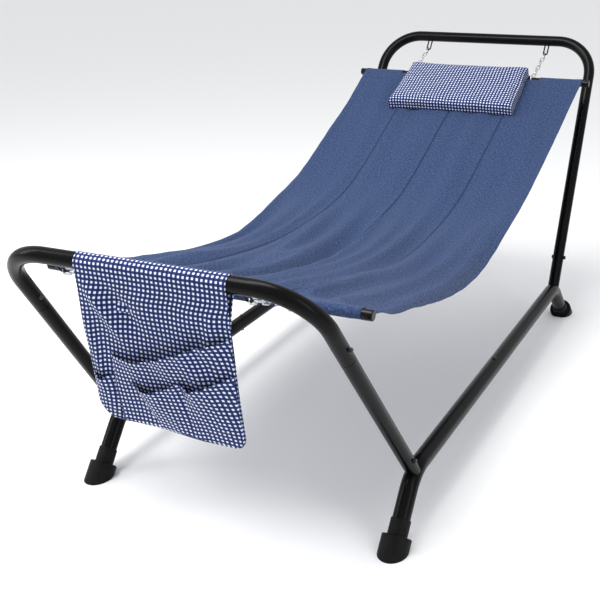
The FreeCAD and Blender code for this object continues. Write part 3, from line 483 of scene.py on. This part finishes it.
lengths = [0.0]
for before, after in zip(path, path[1:]):
    lengths.append(lengths[-1] + (after - before).length)
HELD, FREE = 0.012, 0.10
bed_rows, bed_uvs = [], []
for index, point in enumerate(path):
    y = point.y - SHIFT
    loose = ease(y, foot_bar.y - SHIFT + HELD, foot_bar.y - SHIFT + FREE)
    loose *= ease(y, head_bar.y - SHIFT - HELD, head_bar.y - SHIFT - FREE)
    wide = half_width(y)
    from_end = min(lengths[main_end] - lengths[index], lengths[index] - lengths[main_start])
    sewn = 0.0
    if from_end > 0:
        sewn = 0.0007 * ease(from_end, SLEEVE_RETURN + 0.002, SLEEVE_RETURN - 0.002)
        sewn -= 0.0012 * math.exp(-((from_end - SLEEVE_RETURN) / 0.004) ** 2)
    bed_rows.append([Vector((u * wide, point.y, point.z + bed_lift(u, y, loose) + sewn)) for u in columns])
    bed_uvs.append([(u * BED_HALF, lengths[index]) for u in columns])

removed = set()
for index in range(len(path) - 1):
    centre = (path[index] + path[index + 1]) / 2
    bar = head_bar if centre.y > 0 else foot_bar
    if abs(centre.y - bar.y) < NOTCH_REACH and (centre - bar).length < 0.024:
        for column in range(len(columns) - 1):
            off_middle = abs(columns[column] + columns[column + 1]) / 2 * BED_HALF
            if abs(off_middle - HANGER) < NOTCH_HALF:
                removed.add((index, column))
bed = grid_object("bed_cloth", bed_rows, removed, BED_CLOTH, bed_uvs)

STITCH, THREAD = 0.0042, 0.0013
SEAM_SHADE, HEM_SHADE = 0.0044, 0.0016
denim = Finish("bed_heathered_cloth", metallic=0.0, sheen_weight=0.06, sheen_roughness=0.5,
               specular_ior_level=0.12)
spot = denim.cloth_place()
warp = denim.noise(denim.stretched(spot, (820.0, 150.0, 1.0)), 1.0, 2.0, 0.6)
weft = denim.noise(denim.stretched(spot, (140.0, 760.0, 1.0)), 1.0, 2.0, 0.6)
fleck = denim.noise(denim.stretched(spot, (330.0, 150.0, 1.0)), 1.0, 3.0, 0.65)
heather = warp * 0.37 + weft * 0.37 + fleck * 0.26
blues = denim.ramp(heather, (0.36, (0.007, 0.015, 0.046)), (0.50, (0.023, 0.043, 0.108)),
                   (0.63, (0.080, 0.121, 0.232)))
across, along = denim.across_and_along(spot)


def line_at(value, place, half):
    """1 on a line at this place, falling to 0 this far from it."""
    return 1.0 - ((value - place).math("ABSOLUTE") / half).clamped()


# Each seam is darkened along its groove with painted shadow; the hem and sleeve lines carry dashes of dark
# stitching thread.
seam_shadow_lines = [line_at(across, seam * BED_HALF, SEAM_SHADE) for seam in SEAMS]
hem_line = line_at(across.math("ABSOLUTE"), BED_HALF - HEM, HEM_SHADE)
sleeve_lines = [line_at(along, stop, 0.0018)
                for stop in (lengths[main_start] + SLEEVE_RETURN, lengths[main_end] - SLEEVE_RETURN)]
hem_stitch = along.sine(STITCH).math("GREATER_THAN", 0.35) * hem_line
sleeve_stitch = across.sine(STITCH).math("GREATER_THAN", 0.35) * (sleeve_lines[0] + sleeve_lines[1])
# One mask holds the painted seam shadow and the real stitch dashes, and darkens the cloth towards deep navy
# where it is high.
seam_shadow_and_stitches = ((seam_shadow_lines[0] + seam_shadow_lines[1] + seam_shadow_lines[2]) * 0.95 + hem_stitch * 0.45
         + sleeve_stitch * 0.45).clamped()
denim.set(base_color=denim.blend(seam_shadow_and_stitches, blues, (0.010, 0.018, 0.050)), roughness=0.86)
weave = across.sine(THREAD) * 0.5 + along.sine(THREAD) * 0.5
denim.bump(weave * 0.4 + heather * 0.6 - seam_shadow_and_stitches * 0.8, 0.0006, 0.5)
bed.data.materials.clear()
bed.data.materials.append(denim.material)
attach(bed, "bed")
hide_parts("sling")

# ---------------------------------------------------------------- the pillow
# A flat stuffed cushion in navy gingham, its top, base and side strips sewn at the edges, held at the
# head of the bed by a webbing loop at each rear corner round the spreader bar.
PILLOW_TILT = math.radians(24.0)
PILLOW_SIZE = Vector((0.404, 0.230, 0.029))
PILLOW_CELL, PILLOW_SWELL = 0.0052, 0.009
GINGHAM_DARK, GINGHAM_MID = (0.006, 0.009, 0.052), (0.018, 0.030, 0.140)
GINGHAM_PALE, GINGHAM_SLUB = (0.70, 0.76, 0.86), (0.08, 0.12, 0.28)
GINGHAM_THREAD = 0.00072


def gingham(name, pitch):
    """Woven check: navy stripes a little wider than the white ones, both ways, with visible threads."""
    cloth = Finish(name, metallic=0.0, sheen_weight=0.05, sheen_roughness=0.5, specular_ior_level=0.12)
    spot = cloth.cloth_place()
    wobble = cloth.noise(spot, 55.0, 2.0)
    stripes, threads = [], []
    for part in cloth.across_and_along(spot):
        length = part + wobble * 0.0011
        stripes.append(cloth.node("ShaderNodeMapRange", {"interpolation_type": "SMOOTHSTEP"},
                                  {"Value": length.sine(pitch), "From Min": 0.70, "From Max": 0.44}))
        threads.append(length.sine(GINGHAM_THREAD))
    slub = cloth.noise(spot, 900.0, 2.0, 0.6)
    single = cloth.blend((threads[0] * 0.5 + threads[1] * 0.5 - 0.35) * 0.55, GINGHAM_MID, GINGHAM_DARK)
    either = stripes[0].math("MAXIMUM", stripes[1])
    both = stripes[0] * stripes[1]
    colour = cloth.blend(both, cloth.blend(either, GINGHAM_PALE, single), GINGHAM_DARK)
    cloth.set(base_color=cloth.blend(slub * 0.10, colour, GINGHAM_SLUB), roughness=0.86 - slub * 0.08)
    cloth.bump(threads[0] * 0.3 + threads[1] * 0.3 + slub * 0.4, 0.0004, 0.5)
    return cloth


def box_cushion(name, size, cell):
    """A closed box of small squares with a uv layer in metres that runs on over its edges."""
    counts = [max(2, round(length / cell)) for length in size]
    half = size / 2
    points, faces, flats = {}, [], []
    for axis in range(3):
        for sign in (-1, 1):
            one, two = [other for other in range(3) if other != axis]
            for i in range(counts[one]):
                for j in range(counts[two]):
                    face, flat = [], []
                    for di, dj in ((0, 0), (1, 0), (1, 1), (0, 1)):
                        key = [0, 0, 0]
                        key[one], key[two] = i + di, j + dj
                        key[axis] = 0 if sign < 0 else counts[axis]
                        face.append(points.setdefault(tuple(key), len(points)))
                        x, y, z = [key[k] / counts[k] * size[k] - half[k] for k in range(3)]
                        drop = half.z - z if axis != 2 else 0.0
                        u = x + (sign * drop if axis == 0 else 0.0)
                        v = y + (sign * drop if axis == 1 else 0.0)
                        flat.append((u, v))
                    if (sign > 0) == (axis == 1):
                        face.reverse()
                        flat.reverse()
                    faces.append(face)
                    flats.append(flat)
    ordered = sorted(points, key=points.get)
    places = [Vector([key[k] / counts[k] * size[k] - half[k] for k in range(3)]) for key in ordered]
    mesh = bpy.data.meshes.new(name)
    mesh.from_pydata([tuple(place) for place in places], [], faces)
    layer = mesh.uv_layers.new(name="cloth")
    for polygon, flat in zip(mesh.polygons, flats):
        for loop, place in zip(polygon.loop_indices, flat):
            layer.data[loop].uv = place
    mesh.polygons.foreach_set("use_smooth", [True] * len(mesh.polygons))
    piece = bpy.data.objects.new(name, mesh)
    bpy.context.collection.objects.link(piece)
    return piece


def stuff(piece, cap, frames=20):
    """Blows a closed piece up with cloth pressure, moving no point further than cap."""
    before = [vertex.co.copy() for vertex in piece.data.vertices]
    cloth = piece.modifiers.new("stuffing", "CLOTH")
    cloth.settings.quality, cloth.settings.mass = 5, 0.25
    cloth.settings.use_pressure, cloth.settings.uniform_pressure_force = True, 4.0
    cloth.settings.tension_stiffness = cloth.settings.compression_stiffness = 12
    cloth.settings.effector_weights.gravity = 0
    cloth.collision_settings.use_collision = False
    for frame_number in range(1, frames + 1):
        bpy.context.scene.frame_set(frame_number)
    made = piece.evaluated_get(bpy.context.evaluated_depsgraph_get()).to_mesh()
    after = [vertex.co.copy() for vertex in made.vertices]
    piece.modifiers.remove(cloth)
    bpy.context.scene.frame_set(1)
    for vertex, start, finish in zip(piece.data.vertices, before, after):
        move = finish - start
        vertex.co = start + (move if move.length <= cap else move.normalized() * cap)


pillow = box_cushion("pillow_cushion", PILLOW_SIZE, PILLOW_CELL)
stuff(pillow, PILLOW_SWELL)

# The stuffed box is pulled in at its sides, narrowed towards its rear edge, between the rings, and
# crowned on top.
TOP_FROM, CROWN = 0.004, 0.003
for vertex in pillow.data.vertices:
    x, y, z = vertex.co
    crown = max(0.0, 1 - (x / (PILLOW_SIZE.x / 2)) ** 4) * max(0.0, 1 - (y / (PILLOW_SIZE.y / 2)) ** 4)
    pinch = 1 - 0.012 * math.cos(math.pi * y / PILLOW_SIZE.y)
    vertex.co.x = x * pinch * (1 - 0.037 * ease(y, 0.0, 0.09))
    vertex.co.z = z + (CROWN if z > TOP_FROM else 0.0) * crown
    vertex.co.z += 0.0016 * noise.noise(Vector((x * 16, y * 22, z * 30))) * crown
pillow_rear_foot = head_bar + Vector((0, 0.001, 0.0162))
pillow.data.transform(Matrix.Translation(pillow_rear_foot) @ Matrix.Rotation(PILLOW_TILT, 4, "X")
                      @ Matrix.Translation(Vector((0, -0.112, 0.0135))))
smooth = pillow.modifiers.new("smooth", "SUBSURF")
smooth.levels = smooth.render_levels = 1
apply_modifiers(pillow)
pillow_check = gingham("pillow_gingham", 0.0098)
pillow.data.materials.append(pillow_check.material)
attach(pillow, "pillow")
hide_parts("pillow")

STRAP_PLACE, STRAP_HALF = 0.1835, 0.007
STRAP_RADIUS, STRAP_CLOTH = 0.0105, 0.0011
STRAP_ACROSS = (-1, -0.6, -0.2, 0.2, 0.6, 1)
webbing = Finish("pillow_strap_webbing", metallic=0.0, sheen_weight=0.2, specular_ior_level=0.3)
spot = webbing.cloth_place()
ribs = webbing.across_and_along(spot)[0].sine(0.0014)
fuzz = webbing.noise(spot, 1400.0, 3.0)
navy = webbing.ramp(ribs * 0.6 + fuzz * 0.4, (0.2, (0.010, 0.011, 0.040)), (0.9, (0.040, 0.042, 0.120)))
webbing.set(base_color=navy, roughness=0.75 + fuzz * 0.15)
webbing.bump(ribs * 0.7 + fuzz * 0.3, 0.0004, 0.7)

loop_path = [head_bar + Vector((0, 0.0005, 0.0150))]
for turn in [math.radians(step) for step in range(20, 356, 12)]:
    loop_path.append(head_bar + Vector((0, STRAP_RADIUS * math.sin(turn), STRAP_RADIUS * math.cos(turn))))
loop_path.append(head_bar + Vector((0, -0.0015, 0.0142)))
for word, side in (("left", -1), ("right", 1)):
    strap_rows, strap_uvs, walked = [], [], 0.0
    for number, centre in enumerate(loop_path):
        walked += (centre - loop_path[max(0, number - 1)]).length
        strap_rows.append([centre + Vector((side * STRAP_PLACE + edge * STRAP_HALF, 0, 0))
                           for edge in STRAP_ACROSS])
        strap_uvs.append([(edge * STRAP_HALF, walked) for edge in STRAP_ACROSS])
    strap = grid_object(f"pillow_loop_{word}", strap_rows, (), STRAP_CLOTH, strap_uvs)
    strap.data.materials.append(webbing.material)
    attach(strap, "pillow")
    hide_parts(f"pillow_strap_{word}")

# ---------------------------------------------------------------- the pocket caddy
# A gingham sheet folded over the foot bar and stitched behind, with a wide pocket whose mouth sags to
# one side, two smaller pockets sewn on its front, and a narrow one at the left edge.
CADDY_LEFT, CADDY_RIGHT, CADDY_BOTTOM, CADDY_CLOTH = -0.136, 0.176, 0.322, 0.0010
CADDY_COLUMNS, PANEL_TOP, PANEL_ROWS = 104, 0.643, 81
LEFT_CORNER, RIGHT_CORNER = 0.050, 0.024
FOOT_BOW_BAR = Vector((0, -0.9905 + SHIFT, 0.645))
OVER_BAR = 0.0169
caddy_gingham = gingham("caddy_gingham", 0.0092)


def read_off(stops, value):
    """A value read off straight lines through the stops, held level beyond them."""
    if value <= stops[0][0]:
        return stops[0][1]
    for (x0, v0), (x1, v1) in zip(stops, stops[1:]):
        if value <= x1:
            return v0 + (v1 - v0) * (value - x0) / (x1 - x0)
    return stops[-1][1]


FRONT_LINE = ((0.322, -0.9575), (0.403, -0.9705), (0.457, -0.9800), (0.510, -0.9890), (0.563, -0.9975),
              (0.604, -1.0020), (0.645, -1.0074))


def fold(x, z, start, finish, width, height):
    """A soft ridge along a line from start to finish, highest at its middle."""
    run = (finish[0] - start[0], finish[1] - start[1])
    length = math.hypot(*run)
    t = ((x - start[0]) * run[0] + (z - start[1]) * run[1]) / length ** 2
    away = ((x - start[0]) * run[1] - (z - start[1]) * run[0]) / length
    return height * math.exp(-(away / width) ** 2) * ease(t, -0.1, 0.35) * ease(t, 1.15, 0.7)


def panel_front(x, z):
    """The hanging panel's place, lengthwise, with its tension folds."""
    y = read_off(FRONT_LINE, z) + SHIFT
    loose = ease(z, 0.636, 0.58)
    y -= loose * fold(x, z, (-0.130, 0.640), (-0.050, 0.500), 0.014, 0.010)
    y += loose * fold(x, z, (-0.095, 0.640), (-0.010, 0.520), 0.016, 0.007)
    y -= loose * fold(x, z, (0.150, 0.600), (0.120, 0.500), 0.012, 0.006)
    y += loose * fold(x, z, (0.172, 0.570), (0.150, 0.420), 0.010, 0.004)
    y -= loose * fold(x, z, (-0.132, 0.560), (-0.112, 0.400), 0.010, 0.005)
    y += 0.0065 * loose * noise.noise(Vector((x * 14 - z * 5, z * 7, 2.2)))
    return y


def panel_bottom(x):
    """The height of the hem, rounded at both corners."""
    low = CADDY_BOTTOM + 0.004 * math.sin((x - CADDY_LEFT) * 16) - 0.004
    for edge, radius in ((x - CADDY_LEFT, LEFT_CORNER), (CADDY_RIGHT - x, RIGHT_CORNER)):
        if edge < radius:
            low += radius - math.sqrt(max(radius ** 2 - (radius - edge) ** 2, 0.0))
    return low


def measured(rows):
    flat = []
    for number, row in enumerate(rows):
        line, across = [], row[0].x
        for index, point in enumerate(row):
            across += (point - row[index - 1]).length if index else 0.0
            down = flat[-1][index][1] + (point - rows[number - 1][index]).length if number else -row[index].z
            line.append((across, down))
        flat.append(line)
    return flat


def caddy_sheet(name, rows, node):
    """Makes one sheet of the caddy, which rides with the rest of it."""
    piece = grid_object(name, rows, (), CADDY_CLOTH, measured(rows))
    piece.data.materials.append(caddy_gingham.material)
    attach(piece, "caddy")
    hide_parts(node)


panel_columns = [CADDY_LEFT + (CADDY_RIGHT - CADDY_LEFT) * number / CADDY_COLUMNS
                 for number in range(CADDY_COLUMNS + 1)]
back_ply = [Vector((0, y + SHIFT, z)) for y, z in ((-0.9955, 0.563), (-0.9860, 0.605), (-0.9745, 0.640))]
over_bow = [FOOT_BOW_BAR + Vector((0, OVER_BAR * math.cos(turn), OVER_BAR * math.sin(turn)))
            for turn in [math.radians(step) for step in range(0, 181, 10)]]
panel_rows = []
for point in smooth_line(back_ply, 0.004) + over_bow:
    panel_rows.append([Vector((x, point.y + 0.0006 * noise.noise(Vector((x * 40, point.z * 30, 1))), point.z))
                       for x in panel_columns])
for number in range(1, PANEL_ROWS + 1):
    heights = [PANEL_TOP + (panel_bottom(x) - PANEL_TOP) * (number / PANEL_ROWS) for x in panel_columns]
    panel_rows.append([Vector((x, panel_front(x, z), z)) for x, z in zip(panel_columns, heights)])
caddy_sheet("caddy_sheet", panel_rows, "caddy_panel")

MAIN_LEFT = -0.086
MAIN_MOUTH = ((-0.086, 0.474), (-0.060, 0.468), (-0.020, 0.471), (0.026, 0.487), (0.068, 0.506),
              (0.114, 0.524), (0.176, 0.545))
FRONT_MOUTH_LEFT = ((-0.045, 0.424), (-0.020, 0.414), (0.010, 0.417), (0.040, 0.430), (0.066, 0.446))
FRONT_MOUTH_RIGHT = ((0.066, 0.446), (0.090, 0.436), (0.118, 0.446), (0.150, 0.462), (0.176, 0.474))


def main_gap(x, z):
    """How far the wide pocket's front stands off the panel."""
    mouth = read_off(MAIN_MOUTH, x)
    down = min(max((mouth - z) / (mouth - panel_bottom(x)), 0.0), 1.0)
    share = min(max((x - MAIN_LEFT) / (CADDY_RIGHT - MAIN_LEFT), 0.0), 1.0)
    bulge = math.sin(math.pi * share) ** 0.7
    gap = 0.0012 + 0.028 * bulge * (1 - down) ** 1.15
    gap += 0.0075 * bulge * (1 - down) ** 0.6 * noise.noise(Vector((x * 24 + z * 6, z * 8, 4.4)))
    return gap + 0.0014 * ease(mouth - z, 0.010, 0.008)


def pocket_rows(left, right, mouth, gap, columns, count, inset=0.0035):
    """Rows from the mouth down to the panel's hem; left and right give the sides at a height."""
    rows = []
    for number in range(count + 1):
        share = number / count
        row = []
        for column in range(columns + 1):
            part = column / columns
            top_x = left(0.0) + (right(0.0) - left(0.0)) * part
            x = left(share) + (right(share) - left(share)) * part
            z = read_off(mouth, top_x) * (1 - share) + (panel_bottom(x) + inset) * share
            row.append(Vector((x, panel_front(x, z) - gap(x, z, part, share), z)))
        rows.append(row)
    return rows


main_rows = pocket_rows(lambda down: MAIN_LEFT, lambda down: CADDY_RIGHT - 0.002, MAIN_MOUTH,
                        lambda x, z, part, down: main_gap(x, z), 88, 60)
caddy_sheet("caddy_wide_pocket", main_rows, "caddy_main_pocket")


def front_gap(x, z, part, down):
    """How far a small pocket's front stands off the panel, over the wide pocket's own."""
    puff = math.sin(math.pi * part) ** 0.6 * (1 - down) ** 0.9
    crease = noise.noise(Vector((x * 34 + z * 8, z * 9, 8.8))) * 0.0060 * puff
    return main_gap(x, z) + 0.0016 + 0.0165 * puff + crease + 0.0013 * ease(down, 0.085, 0.07)


front_left = pocket_rows(lambda down: -0.045 + 0.045 * down, lambda down: 0.066 + 0.010 * down,
                         FRONT_MOUTH_LEFT, front_gap, 40, 40, 0.005)
front_right = pocket_rows(lambda down: 0.0662 + 0.010 * down, lambda down: CADDY_RIGHT - 0.0035,
                          FRONT_MOUTH_RIGHT, front_gap, 40, 40, 0.005)
front_rows = [one + two[1:] for one, two in zip(front_left, front_right)]
caddy_sheet("caddy_small_pockets", front_rows, "caddy_front_pockets")

SIDE_MOUTH = ((-0.136, 0.424), (-0.110, 0.417), (-0.089, 0.428))
side_rows = pocket_rows(lambda down: CADDY_LEFT + 0.0015, lambda down: MAIN_LEFT - 0.002, SIDE_MOUTH,
                        lambda x, z, part, down: 0.0012 + 0.012 * math.sin(math.pi * part) ** 0.7 * (1 - down),
                        20, 34)
caddy_sheet("caddy_side_sleeve", side_rows, "caddy_side_pocket")
